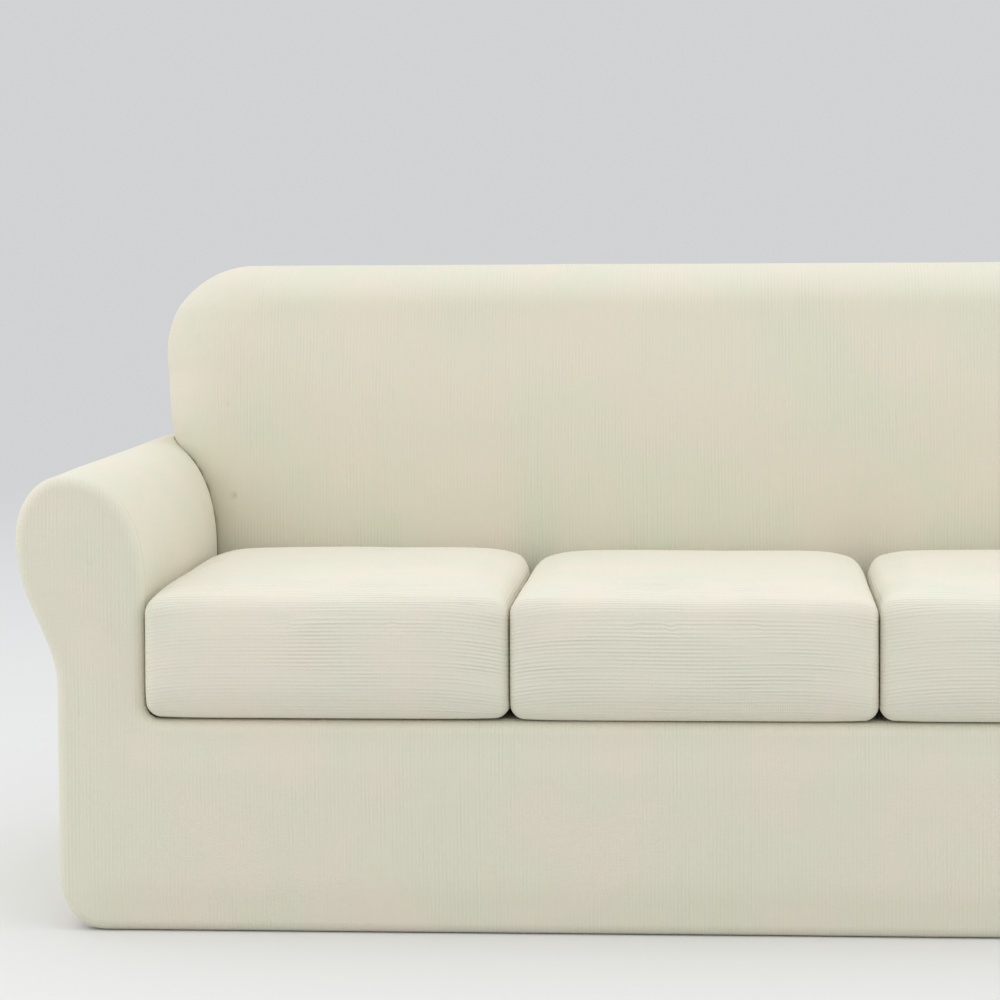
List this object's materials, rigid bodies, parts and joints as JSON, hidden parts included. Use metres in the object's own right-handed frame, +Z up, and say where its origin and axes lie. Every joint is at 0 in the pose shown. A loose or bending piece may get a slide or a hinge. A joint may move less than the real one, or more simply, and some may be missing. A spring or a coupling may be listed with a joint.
{
  "type": "sofa slipcover",
  "caption": "Stretch rib-knit slipcover for a rolled-arm sofa, with separate fitted covers for its loose seat cushions.",
  "frame": {"origin": "bottom centre of the cover's box, at hem level, midway between the foremost cushion bulge and the outside back", "axes": "+Z up, -Y towards the viewer in front of the sofa, +X to the viewer's right"},
  "size_m": [1.951, 0.88, 0.958],
  "materials": {
    "knit": "matt ribbed stretch knit, ivory",
    "cushion_knit": "matt ribbed stretch knit, ivory, ribs across"
  },
  "bodies": {
    "root": {"front_panel": "knit", "arm_left": "knit", "arm_right": "knit", "inside_back": "knit", "outside_back": "knit", "seat_deck": "knit", "cushion_cover_left": "cushion_knit", "cushion_cover_centre": "cushion_knit", "cushion_cover_right": "cushion_knit"}
  },
  "joints": []
}
